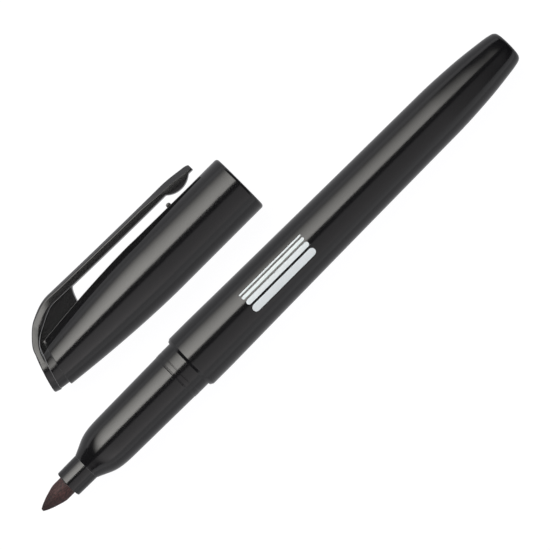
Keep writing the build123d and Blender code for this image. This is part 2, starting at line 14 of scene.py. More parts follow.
import bmesh
import bpy
from bpy.types import Material, Node, NodeSocket, NodeTree, Object
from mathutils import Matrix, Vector

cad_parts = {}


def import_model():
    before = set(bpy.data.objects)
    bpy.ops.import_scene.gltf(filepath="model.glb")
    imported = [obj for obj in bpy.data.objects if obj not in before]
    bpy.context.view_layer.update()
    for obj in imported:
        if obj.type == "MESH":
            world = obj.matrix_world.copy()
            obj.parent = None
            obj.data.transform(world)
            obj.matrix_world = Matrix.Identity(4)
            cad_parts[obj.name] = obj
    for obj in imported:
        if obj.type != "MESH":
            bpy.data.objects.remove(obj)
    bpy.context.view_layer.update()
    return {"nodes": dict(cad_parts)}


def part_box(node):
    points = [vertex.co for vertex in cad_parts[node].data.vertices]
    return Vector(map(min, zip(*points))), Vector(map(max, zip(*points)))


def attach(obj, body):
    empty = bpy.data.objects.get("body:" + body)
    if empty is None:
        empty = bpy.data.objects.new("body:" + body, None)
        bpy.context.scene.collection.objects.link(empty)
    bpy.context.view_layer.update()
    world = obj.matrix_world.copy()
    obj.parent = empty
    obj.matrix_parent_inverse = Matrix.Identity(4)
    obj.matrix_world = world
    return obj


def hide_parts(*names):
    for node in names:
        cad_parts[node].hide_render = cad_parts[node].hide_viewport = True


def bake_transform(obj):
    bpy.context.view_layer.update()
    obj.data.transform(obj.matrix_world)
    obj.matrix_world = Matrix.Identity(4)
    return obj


log = logging.getLogger("marker")

MM = 0.001                  # metres in a millimetre
AROUND = 160                # facets round a turned piece
TURNS = [2 * pi * i / AROUND for i in range(AROUND)]
EDGE_ANGLE = radians(33)   # edges sharper than this stay crisp
NOTHING = 1e-6              # mm or m, too small to draw

Outline = list[tuple[float, float]]
Ring = list[Vector]


class Body(Enum):
    """The parts of the marker that move on their own."""

    PEN = "pen"
    CAP = "cap"
    CLIP = "clip"


class Slot(Enum):
    """The record's material slots."""

    BARREL = "barrel_plastic"
    SECTION = "section_plastic"
    CAP = "cap_plastic"
    CLIP = "clip_plastic"
    FELT = "felt"
    FIBRE = "reservoir_fibre"
    FILM = "film"
    BREATHER = "breather"
    LINER = "liner"
    PRINT = "print_ink"


Finishes = dict[Slot, Material]


# ---------------------------------------------------------------- colours and nodes
def to_linear(hex_colour: str) -> tuple[float, float, float, float]:
    """Turn an sRGB hex colour into the linear colour that the shaders take.

    Args:
        hex_colour: six hex digits after a hash sign.

    Returns:
        Red, green, blue and an alpha of 1.
    """
    digits = hex_colour.lstrip("#")
    channels = [int(digits[place:place + 2], 16) / 255 for place in (0, 2, 4)]
    linear = [c / 12.92 if c <= 0.04045 else ((c + 0.055) / 1.055) ** 2.4 for c in channels]
    return (linear[0], linear[1], linear[2], 1.0)


def add_node(
    tree: NodeTree,
    kind: str,
    links: dict[str | int, NodeSocket] | None = None,
    inputs: dict[str | int, object] | None = None,
    **settings: object,
) -> Node:
    """Add a node with its settings, its socket values and the links into it.

    Args:
        tree: node tree that the node goes into.
        kind: Blender's type name of the node.
        links: output sockets by the name or the place of the input that each feeds.
        inputs: values by the name or the place of the input that each sets.
        **settings: properties of the node itself.

    Returns:
        The new node.
    """
    node = tree.nodes.new(kind)
    for name, value in settings.items():
        setattr(node, name, value)
    for name, value in (inputs or {}).items():
        node.inputs[name].default_value = value
    for name, socket in (links or {}).items():
        tree.links.new(socket, node.inputs[name])
    return node


def set_ramp(node: Node, *stops: tuple[float, str]) -> None:
    """Give a colour ramp its stops.

    Args:
        node: colour ramp node.
        *stops: position and hex colour of each stop, in order.
    """
    elements = node.color_ramp.elements
    while len(elements) < len(stops):
        elements.new(0.5)
    for element, (position, colour) in zip(elements, stops):
        element.position = position
        element.color = to_linear(colour)


def new_material(name: str) -> tuple[Material, NodeTree]:
    """Make a material whose node tree holds only its output.

    Args:
        name: what the real material is called.

    Returns:
        The material and its node tree.
    """
    material = bpy.data.materials.new(name)
    material.use_nodes = True
    tree = material.node_tree
    for node in list(tree.nodes):
        if node.type != "OUTPUT_MATERIAL":
            tree.nodes.remove(node)
    return material, tree


def finish_surface(tree: NodeTree, shader: Node) -> None:
    """Link a shader to the material's output.

    Args:
        tree: the material's node tree.
        shader: the shader node.
    """
    tree.links.new(shader.outputs["BSDF"], tree.nodes["Material Output"].inputs["Surface"])


def grain(tree: NodeTree, size: float, stretch: float = 1.0, detail: float = 2.0) -> Node:
    """Add noise whose grains have a real size, stretched along the pen.

    Args:
        tree: the material's node tree.
        size: width of a grain in millimetres.
        stretch: how many times longer than wide a grain is, along X.
        detail: finer layers in the noise.

    Returns:
        The noise node.
    """
    place = add_node(tree, "ShaderNodeTexCoord")
    mapping = add_node(
        tree, "ShaderNodeMapping", {"Vector": place.outputs["Object"]},
        {"Scale": (1 / stretch, 1.0, 1.0)},
    )
    return add_node(
        tree, "ShaderNodeTexNoise", {"Vector": mapping.outputs["Vector"]},
        {"Scale": 1 / (size * MM), "Detail": detail, "Roughness": 0.5},
    )


# ---------------------------------------------------------------- finishes
@dataclass(frozen=True)
class MouldedPolypropylene:
    """Black polypropylene, injection-moulded in a polished steel tool.

    The polish gives clean reflections, shrinkage gives them a very slight wander, and handling
    leaves hair-fine rubs along the piece that soften the gloss here and there.
    """

    name: str
    colour: str = "#141416"
    roughness: float = 0.155
    rubbed: float = 0.05         # how much duller the rubs are
    ripple: float = 2.6          # mm, size of the shrinkage ripple
    ripple_depth: float = 0.0035
    rub_width: float = 0.22      # mm; the real ones are finer than the render can show
    rub_stretch: float = 14.0
    ior: float = 1.49

    def make(self) -> Material:
        """Build the material.

        Returns:
            The material.
        """
        material, tree = new_material(self.name)
        rubs = grain(tree, self.rub_width, self.rub_stretch, detail=4.0)
        dull = add_node(
            tree, "ShaderNodeMapRange", {"Value": rubs.outputs["Fac"]},
            {
                "From Min": 0.45, "From Max": 0.75,
                "To Min": self.roughness, "To Max": self.roughness + self.rubbed,
            },
        )
        ripple = grain(tree, self.ripple, 2.5, detail=1.0)
        bump = add_node(
            tree, "ShaderNodeBump", {"Height": ripple.outputs["Fac"]},
            {"Strength": 0.35, "Distance": self.ripple_depth * MM},
        )
        shader = add_node(
            tree, "ShaderNodeBsdfPrincipled",
            {"Roughness": dull.outputs["Result"], "Normal": bump.outputs["Normal"]},
            {"Base Color": to_linear(self.colour), "IOR": self.ior},
        )
        finish_surface(tree, shader)
        return material


@dataclass(frozen=True)
class FibreStock:
    """Polyester fibre bonded into a stick and wet with ink.

    The fibres run along the stick, so it shows fine lengthwise streaks, and the ink gives it a
    dark, slightly damp look with no clear reflections.
    """

    name: str
    colour: str
    streak: str
    front_colour: str = "#140c0d"      # colour that it darkens to towards its front end
    roughness: float = 0.62
    fibre: float = 0.17          # mm; the real fibres are finer than the render can show
    fibre_stretch: float = 3.5
    darker_front_length: float = 0.16    # share of the piece's length that the darker front end fades over
    depth: float = 0.03          # mm
    ior: float = 1.45

    def make(self) -> Material:
        """Build the material.

        Returns:
            The material.
        """
        material, tree = new_material(self.name)
        fibres = grain(tree, self.fibre, self.fibre_stretch, detail=3.0)
        ramp = add_node(tree, "ShaderNodeValToRGB", {"Fac": fibres.outputs["Fac"]})
        set_ramp(ramp, (0.40, "#000000"), (0.66, "#ffffff"))
        dry = add_node(
            tree, "ShaderNodeMix", {"Factor": ramp.outputs["Color"]},
            {"A": to_linear(self.colour), "B": to_linear(self.streak)}, data_type="RGBA",
        )
        place = add_node(tree, "ShaderNodeTexCoord")
        axes = add_node(tree, "ShaderNodeSeparateXYZ", {"Vector": place.outputs["Generated"]})
        # Darker towards the front end: the colour is mixed towards the front colour over the first share of
        # the length.
        front_fade = add_node(
            tree, "ShaderNodeMapRange", {"Value": axes.outputs["X"]},
            {"From Min": 0.0, "From Max": self.darker_front_length, "To Min": 0.85, "To Max": 0.0},
        )
        colour = add_node(
            tree, "ShaderNodeMix", {"Factor": front_fade.outputs["Result"], "A": dry.outputs["Result"]},
            {"B": to_linear(self.front_colour)}, data_type="RGBA",
        )
        bump = add_node(
            tree, "ShaderNodeBump", {"Height": fibres.outputs["Fac"]},
            {"Strength": 0.6, "Distance": self.depth * MM},
        )
        shader = add_node(
            tree, "ShaderNodeBsdfPrincipled",
            {"Base Color": colour.outputs["Result"], "Normal": bump.outputs["Normal"]},
            {"Roughness": self.roughness, "IOR": self.ior},
        )
        finish_surface(tree, shader)
        return material


@dataclass(frozen=True)
class SoftPolyethylene:
    """Soft polyethylene, moulded or extruded: waxy, with a blurred sheen and a faint mottle."""

    name: str
    colour: str
    roughness: float = 0.42
    mottle: float = 0.8          # mm, size of its patches
    unevenness: float = 0.06     # roughness that the mottle adds or takes away
    ior: float = 1.51
    see_through: float = 0.0

    def make(self) -> Material:
        """Build the material.

        Returns:
            The material.
        """
        material, tree = new_material(self.name)
        mottle = grain(tree, self.mottle, 3.0)
        sheen = add_node(
            tree, "ShaderNodeMapRange", {"Value": mottle.outputs["Fac"]},
            {"To Min": self.roughness - self.unevenness, "To Max": self.roughness + self.unevenness},
        )
        shader = add_node(
            tree, "ShaderNodeBsdfPrincipled", {"Roughness": sheen.outputs["Result"]},
            {
                "Base Color": to_linear(self.colour), "IOR": self.ior,
                "Transmission Weight": self.see_through,
            },
        )
        finish_surface(tree, shader)
        return material


@dataclass(frozen=True)
class PadPrint:
    """Silver pad-printing ink: a thin matt coat with fine flake that catches the light unevenly."""

    name: str = "pad-printed silver ink"
    colour: str = "#eef3f6"
    flake: str = "#d3dde3"
    flake_size: float = 0.16     # mm; real flake is finer than the render can show
    roughness: float = 0.48
    ior: float = 1.5

    def make(self) -> Material:
        """Build the material.

        Returns:
            The material.
        """
        material, tree = new_material(self.name)
        flakes = grain(tree, self.flake_size)
        colour = add_node(
            tree, "ShaderNodeMix", {"Factor": flakes.outputs["Fac"]},
            {"A": to_linear(self.colour), "B": to_linear(self.flake)}, data_type="RGBA",
        )
        shader = add_node(
            tree, "ShaderNodeBsdfPrincipled", {"Base Color": colour.outputs["Result"]},
            {"Roughness": self.roughness, "IOR": self.ior},
        )
        finish_surface(tree, shader)
        return material


@dataclass(frozen=True)
class StudioCard:
    """Glowing cloth of a softbox or fill: graded across from edge to edge, and dark at both ends."""

    name: str
    colour: str
    low: float                   # brightness at its edge towards -Y
    high: float                  # brightness at its edge towards +Y
    fade_from: float = 0.0       # share of the width where the fading starts
    fade_power: float = 1.0      # 1 fades evenly; more fades sooner

    def make(self) -> Material:
        """Build the material.

        Returns:
            The material.
        """
        material, tree = new_material(self.name)
        place = add_node(tree, "ShaderNodeTexCoord")
        axes = add_node(tree, "ShaderNodeSeparateXYZ", {"Vector": place.outputs["Generated"]})
        share = add_node(
            tree, "ShaderNodeMapRange", {"Value": axes.outputs["Y"]},
            {"From Min": self.fade_from, "From Max": 1.0, "To Min": 1.0, "To Max": 0.0},
        )
        faded = add_node(
            tree, "ShaderNodeMath", {0: share.outputs["Result"]}, {1: self.fade_power}, operation="POWER",
        )
        across = add_node(
            tree, "ShaderNodeMapRange", {"Value": faded.outputs["Value"]},
            {"To Min": self.high, "To Max": self.low},
        )
        along = add_node(tree, "ShaderNodeMath", {0: axes.outputs["X"]}, {1: 0.5}, operation="PINGPONG")
        ends = add_node(
            tree, "ShaderNodeMapRange", {"Value": along.outputs["Value"]},
            {"From Min": 0.0, "From Max": 0.5}, interpolation_type="SMOOTHSTEP",
        )
        strength = add_node(
            tree, "ShaderNodeMath", {0: across.outputs["Result"], 1: ends.outputs["Result"]},
            operation="MULTIPLY",
        )
        light = add_node(
            tree, "ShaderNodeEmission", {"Strength": strength.outputs["Value"]},
            {"Color": to_linear(self.colour)},
        )
        tree.links.new(light.outputs["Emission"], tree.nodes["Material Output"].inputs["Surface"])
        return material


# ---------------------------------------------------------------- shaping
def held(share: float) -> float:
    """Return a share kept between 0 and 1."""
    return min(max(share, 0.0), 1.0)


def ease(value: float, start: float, end: float) -> float:
    """Ease from 0 to 1 as a value goes from one place to another, held beyond both."""
    share = held((value - start) / (end - start))
    return share * share * (3 - 2 * share)


def spread(start: float, end: float, steps: int, places: Sequence[int]) -> list[float]:
    """Return chosen places of a stretch that is divided into equal steps."""
    return [start + (end - start) * i / steps for i in places]


def flowing(points: Sequence[tuple[float, float]], first: tuple[float, float],
            last: tuple[float, float], steps: int = 8) -> Outline:
    """Draw a smooth curve through points, leaving the first and reaching the last at set slopes.

    Args:
        points: the points, in order.
        first: direction in which the curve starts.
        last: direction in which it ends.
        steps: points drawn from one given point to the next.

    Returns:
        The drawn points, both ends included.
    """
    knots = [Vector(p) for p in points]
    slopes = [
        (after - before) / ((after - here).length + (here - before).length)
        for before, here, after in zip(knots, knots[1:], knots[2:])
    ]
    slopes = [Vector(first).normalized(), *slopes, Vector(last).normalized()]
    drawn: Outline = []
    for i in range(len(knots) - 1):
        reach = (knots[i + 1] - knots[i]).length
        for step in range(steps):
            t = step / steps
            point = (
                knots[i] * (2 * t**3 - 3 * t**2 + 1) + slopes[i] * reach * (t**3 - 2 * t**2 + t)
                + knots[i + 1] * (3 * t**2 - 2 * t**3) + slopes[i + 1] * reach * (t**3 - t**2)
            )
            drawn.append((point.x, point.y))
    drawn.append((knots[-1].x, knots[-1].y))
    return drawn


def eased(corners: Sequence[tuple[float, ...]], steps: int = 5) -> Outline:
    """Round the corners of an open outline.

    Args:
        corners: (station, radius) or (station, radius, rounding) of each corner.
        steps: facets in each rounding.

    Returns:
        The outline with its corners rounded.
    """
    drawn: Outline = []
    for i, corner in enumerate(corners):
        here = Vector(corner[:2])
        rounding = corner[2] if len(corner) > 2 else 0.0
        if rounding == 0.0 or i in (0, len(corners) - 1):
            drawn.append((here.x, here.y))
            continue
        before = Vector(corners[i - 1][:2]) - here
        after = Vector(corners[i + 1][:2]) - here
        half = before.angle(after) / 2
        cut = min(rounding / tan(half), before.length * 0.49, after.length * 0.49)
        start = here + before.normalized() * cut
        end = here + after.normalized() * cut
        for step in range(steps + 1):
            t = step / steps
            point = start * (1 - t) ** 2 + here * 2 * t * (1 - t) + end * t**2
            drawn.append((point.x, point.y))
    return drawn


def show(name: str, bm: bmesh.types.BMesh) -> Object:
    """Put a drawn mesh into the scene as a new object.

    Args:
        name: name of the new object.
        bm: the drawn mesh, which is used up.

    Returns:
        The new object.
    """
    mesh = bpy.data.meshes.new(name)
    bm.to_mesh(mesh)
    bm.free()
    obj = bpy.data.objects.new(name, mesh)
    bpy.context.scene.collection.objects.link(obj)
    return obj


def skin(name: str, rings: Sequence[Ring], looped: bool = False) -> Object:
    """Make a closed mesh from rings of points, each ring joined to the next.

    Args:
        name: name of the new object.
        rings: rings with equally many points, in metres; a ring of one point is a pole, and two
            poles in a row leave a hollow between them.
        looped: join the last ring to the first instead of closing both ends.

    Returns:
        The new object, smooth but for its hard edges.
    """
    bm = bmesh.new()
    made = [[bm.verts.new(point) for point in ring] for ring in rings]
    pairs = list(zip(made, made[1:]))
    if looped:
        pairs.append((made[-1], made[0]))
    for one, two in pairs:
        count = max(len(one), len(two))
        if count == 1:
            continue
        for i in range(count):
            sides = [one[i % len(one)], one[(i + 1) % len(one)], two[(i + 1) % len(two)], two[i % len(two)]]
            bm.faces.new(dict.fromkeys(sides))
    if not looped:
        for end in (made[0], made[-1]):
            if len(end) > 2:
                bm.faces.new(end)
    bmesh.ops.recalc_face_normals(bm, faces=bm.faces)
    for face in bm.faces:
        face.smooth = True
    for edge in bm.edges:
        edge.smooth = edge.calc_face_angle(0.0) < EDGE_ANGLE
    return show(name, bm)


def join(name: str, parts: Sequence[Object]) -> Object:
    """Put the meshes of several parts of one moulding into one object.

    Args:
        name: name of the new object.
        parts: the parts, which are used up.

    Returns:
        The one object.
    """
    bm = bmesh.new()
    for part in parts:
        bm.from_mesh(part.data)
        bpy.data.objects.remove(part)
    return show(name, bm)


@dataclass(frozen=True)
class Line:
    """A straight axis parallel to X that pieces are drawn about, in millimetres."""

    zero: float                  # X of station 0
    across: float                # Y of the axis
    height: float                # Z of the axis

    def at(self, station: float, out: float, up: float = 0.0) -> Vector:
        """Return a point in metres from its station and its offsets in Y and Z from the axis."""
        return Vector((self.zero + station, self.across + out, self.height + up)) * MM

    def ring(self, station: float, radius: float) -> Ring:
        """Draw a circle about the axis.

        Args:
            station: its place along the axis.
            radius: its radius, in millimetres.

        Returns:
            The circle, or its middle point if the radius is nothing.
        """
        if radius < NOTHING:
            return [self.at(station, 0.0)]
        return [self.at(station, radius * cos(a), radius * sin(a)) for a in TURNS]

    def section(self, points: Sequence[tuple[Vector, float]]) -> Ring:
        """Return a ring from its points, each a (station, Y) pair with its Z."""
        return [self.at(place.x, place.y, z) for place, z in points]

    def turn(self, name: str, outline: Outline, looped: bool = False) -> Object:
        """Turn an outline of (station, radius) points about the axis.

        Args:
            name: name of the new object.
            outline: the points, in order.
            looped: the outline closes on itself, as on a tube.

        Returns:
            The turned piece.
        """
        return skin(name, [self.ring(*point) for point in outline], looped)


@dataclass(frozen=True)
class Layout:
    """Where the pen and the cap lie, measured from the frame in millimetres."""

    pen: Line
    cap: Line
    collar: float                # station of the barrel's collar face
    pen_end: float
    collar_radius: float
    cap_mouth: float
    cap_radius: float
    clip_tip: float

    @classmethod
    def measure(cls) -> "Layout":
        """Read the frame's boxes.

        Returns:
            The layout that they give.
        """
        nib, barrel, shell, arm = (
            [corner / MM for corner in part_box(node)] for node in ("nib", "barrel", "cap_shell", "clip_arm")
        )
        zero = nib[0].x
        pen = Line(zero, (barrel[0].y + barrel[1].y) / 2, (barrel[0].z + barrel[1].z) / 2)
        radius = (shell[1].z - shell[0].z) / 2
        cap = Line(zero, shell[0].y + radius, (shell[0].z + shell[1].z) / 2)
        return cls(
            pen=pen,
            cap=cap,
            collar=barrel[0].x - zero,
            pen_end=barrel[1].x - zero,
            collar_radius=(barrel[1].z - barrel[0].z) / 2,
            cap_mouth=shell[1].x - zero,
            cap_radius=radius,
            clip_tip=arm[1].x - zero,
        )


def dress(
    obj: Object, finishes: Finishes, slot: Slot, body: Body | None = None,
    stands_for: Sequence[str] = (),
) -> None:
    """Give a piece its finish, its body and the CAD nodes that it stands for.

    Args:
        obj: the piece.
        finishes: material for each slot.
        slot: its own slot.
        body: body that it rides on, or None to leave it on no body.
        stands_for: CAD nodes that it takes the place of.
    """
    obj.data.materials.clear()
    obj.data.materials.append(finishes[slot])
    flat = obj.modifiers.new("flat_faces", "WEIGHTED_NORMAL")
    flat.keep_sharp = True
    if body is not None:
        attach(obj, body.value)
    if stands_for:
        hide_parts(*stands_for)
    obj.visible_glossy = False
    rides = body.value if body else "set apart"
    log.info("%s: %d faces, %s, %s", obj.name, len(obj.data.polygons), finishes[slot].name, rides)


# ---------------------------------------------------------------- pen
@dataclass
class Pen:
    """The pen's outer pieces: felt nib, nose moulding, ink barrel and its printed mark; the parts inside are
    dressed by Inside.
    """

    layout: Layout
    nib_out: float = 7.1
    nib_radius: float = 2.0
    grind: float = 5.2           # length of the ground bullet
    nib_knots: Outline = field(default_factory=lambda: [(0.23, 0.44), (0.52, 0.715)])  # shares
    nib_length: float = 33.0
    nib_rear: tuple[float, float] = (3.0, 1.2)         # length and end radius of its pointed rear
    nib_clearance: float = 0.02
    sleeve_length: float = 16.0  # hole that guides the felt
    nozzle_radius: float = 2.98
    nozzle_length: float = 5.05
    shoulder_radius: float = 3.07
    ogive_length: float = 8.25
    ogive_radius: float = 5.11
    ogive_knots: Outline = field(default_factory=lambda: [(0.16, 0.28), (0.40, 0.705), (0.64, 0.92)])
    seat_radius: float = 5.41
    seat_length: float = 3.8
    land_step: float = 0.08      # land stands this proud of the grip
    spigot_radius: float = 4.90
    spigot_length: float = 10.0
    chamber_radius: float = 4.25
    groove_places: tuple[float, float] = (3.45, 2.4)   # middles, ahead of the collar
    groove_width: float = 0.22
    groove_depth: float = 0.04
    groove_flank: float = 0.05
    collar_length: float = 5.6
    collar_edge: float = 0.62    # bevel round the collar's face, itself eased
    tail_length: float = 19.0
    tail_start_radius: float = 5.40
    tail_end_radius: float = 3.75
    tail_knots: Outline = field(default_factory=lambda: [(0.45, 0.25), (0.74, 0.60)])
    tail_edge: float = 0.9
    tail_dish: float = 0.10      # tail face hollowed this much inside its rim
    barrel_bore: float = 4.45
    end_wall: float = 1.6
    tail_wall: float = 0.95
    slope: float = -0.012        # fall of the barrel's long side
    tail_slope: float = -0.28
    sag: float = 0.06            # long side hollower than a straight cone
    mark_ends: tuple[float, float] = (56.6, 73.3)

    def nib_outline(self) -> Outline:
        """Draw the felt nib: a ground bullet, a straight stick and a pointed rear end.

        Returns:
            Its outline.
        """
        bullet = flowing(
            [
                (0.0, 0.02), (0.07, 0.30),
                *((self.grind * along, self.nib_radius * out) for along, out in self.nib_knots),
                (self.grind, self.nib_radius),
            ],
            (0.05, 1.0), (1.0, 0.0),
        )
        rear, rear_radius = self.nib_rear
        return [
            (0.0, 0.0), *bullet, (self.nib_length - rear, self.nib_radius),
            (self.nib_length, rear_radius), (self.nib_length, 0.0),
        ]

    def nose_outline(self) -> Outline:
        """Draw the nose moulding, from its nozzle round to the inside.

        Returns:
            Its closed outline.
        """
        collar = self.layout.collar
        nozzle_back = self.nib_out + self.nozzle_length
        ogive_back = nozzle_back + self.ogive_length
        seat_front = collar - self.seat_length
        rise = self.ogive_radius - self.shoulder_radius
        ogive = flowing(
            [
                (nozzle_back + 0.02, self.shoulder_radius),
                *(
                    (nozzle_back + self.ogive_length * along, self.shoulder_radius + rise * out)
                    for along, out in self.ogive_knots
                ),
                (ogive_back, self.ogive_radius),
            ],
            (1.0, 0.35), (1.0, 0.02),
        )
        grooves: list[tuple[float, ...]] = []
        floor = self.seat_radius - self.groove_depth
        for place in self.groove_places:
            front = collar - place - self.groove_width / 2
            back = front + self.groove_width
            grooves += [
                (front, self.seat_radius, 0.05), (front + self.groove_flank, floor, 0.04),
                (back - self.groove_flank, floor, 0.04), (back, self.seat_radius, 0.05),
            ]
        hole = self.nib_radius + self.nib_clearance
        chamber_front = self.nib_out + self.sleeve_length
        spigot_back = collar + self.spigot_length
        front = eased([
            (self.nib_out, hole), (self.nib_out, self.nozzle_radius - 0.06, 0.22),
            (nozzle_back, self.nozzle_radius), (nozzle_back + 0.02, self.shoulder_radius),
        ])
        land = eased([
            (ogive_back, self.ogive_radius), (seat_front, self.seat_radius - self.land_step, 0.1),
            (seat_front + 0.15, self.seat_radius, 0.08), *grooves,
            (collar + 0.1, self.seat_radius), (collar + 0.1, self.spigot_radius),
            (spigot_back, self.spigot_radius, 0.2), (spigot_back, self.chamber_radius),
            (chamber_front, self.chamber_radius), (chamber_front, hole),
        ])
        return [*front[:-1], *ogive[:-1], *land]

    def side_radius(self, station: float) -> float:
        """Find the barrel's outside radius between its collar and its tail.

        Args:
            station: place along the pen.

        Returns:
            The radius there.
        """
        back = self.layout.collar + self.collar_length
        start = self.layout.pen_end - self.tail_length
        along = held((station - back) / (start - back))
        fall = self.layout.collar_radius - self.tail_start_radius
        return self.layout.collar_radius - fall * along - 4 * self.sag * along * (1 - along)

    def barrel_outline(self) -> Outline:
        """Draw the barrel: collar, long side, bullet-shaped tail and the inside.

        Returns:
            Its closed outline.
        """
        collar, end = self.layout.collar, self.layout.pen_end
        back, start = collar + self.collar_length, end - self.tail_length
        fall = self.tail_start_radius - self.tail_end_radius
        front = eased([
            (collar, self.spigot_radius), (collar, self.layout.collar_radius - self.collar_edge * 0.60),
            (collar + self.collar_edge, self.layout.collar_radius, self.collar_edge * 0.7),
            (back, self.layout.collar_radius),
        ])
        side = [(station, self.side_radius(station)) for station in spread(back, start, 24, range(1, 24))]
        tail = flowing(
            [
                (start, self.tail_start_radius),
                *(
                    (start + self.tail_length * along, self.tail_start_radius - fall * down)
                    for along, down in self.tail_knots
                ),
                (end - self.tail_edge, self.tail_end_radius),
            ],
            (1.0, self.slope), (1.0, self.tail_slope),
        )
        rim = self.tail_end_radius - self.tail_edge
        rounding = flowing([tail[-1], (end, rim)], (1.0, self.tail_slope), (0.1, -1.0), 6)
        face = [(end, rim - 0.25), (end - self.tail_dish, rim - 0.45), (end - self.tail_dish, 0.0)]
        bore_back = collar + self.spigot_length
        inside = [
            (end - self.end_wall, 0.0), (end - self.end_wall, self.tail_end_radius - self.tail_wall),
            (start, self.barrel_bore),
            (bore_back, self.barrel_bore), (bore_back, self.spigot_radius),
        ]
        return [*front, *side, *tail[:-1], *rounding, *face, *inside]

    def build(self, finishes: Finishes) -> None:
        """Build and dress the pen's pieces.

        Args:
            finishes: material for each slot.
        """
        line = self.layout.pen
        nib = line.turn("felt_nib", self.nib_outline())
        dress(nib, finishes, Slot.FELT, Body.PEN, ["nib"])
        nose = line.turn("nose_moulding", self.nose_outline(), looped=True)
        dress(nose, finishes, Slot.SECTION, Body.PEN, ["front_section"])
        barrel = line.turn("barrel_moulding", self.barrel_outline(), looped=True)
        dress(barrel, finishes, Slot.BARREL, Body.PEN, ["barrel"])
        dress(self.mark(), finishes, Slot.PRINT, Body.PEN)

    def mark(self) -> Object:
        """Return the printed mark: strokes of growing width that show what the nib draws."""
        strokes = ((2.45, 0.17), (1.55, 0.33), (0.25, 0.53), (-1.55, 0.80))
        return join("stroke_print", [self.stroke(*self.mark_ends, middle, half) for middle, half in strokes])

    def stroke(self, start: float, end: float, middle: float, half: float) -> Object:
        """Lay one round-ended stroke of ink along the barrel's upper side.

        Args:
            start: station of its first end.
            end: station of its other end.
            middle: distance of its middle line from the barrel's top line, round the barrel.
            half: half its width.

        Returns:
            The stroke, a coat a few hundredths of a millimetre thick.
        """
        coat, sunk, least = 0.02, 0.01, 0.02
        steps = 6
        rounded = [half * (1 - cos(pi / 2 * i / steps)) for i in range(steps + 1)]
        stations = [start + way for way in rounded] + [end - way for way in reversed(rounded)]
        rings: list[Ring] = []
        for station in stations:
            gap = min(station - start, end - station)
            reach = half if gap >= half else sqrt(max(half**2 - (half - gap) ** 2, 0.0))
            radius = self.side_radius(station)
            across = [middle + max(reach, least) * (k / 3 - 1) for k in range(7)]
            points = [(radius + coat, a) for a in across] + [(radius - sunk, a) for a in reversed(across)]
            rings.append([
                self.layout.pen.at(station, r * sin(a / radius), r * cos(a / radius))
                for r, a in points
            ])
        return skin("stroke", rings)


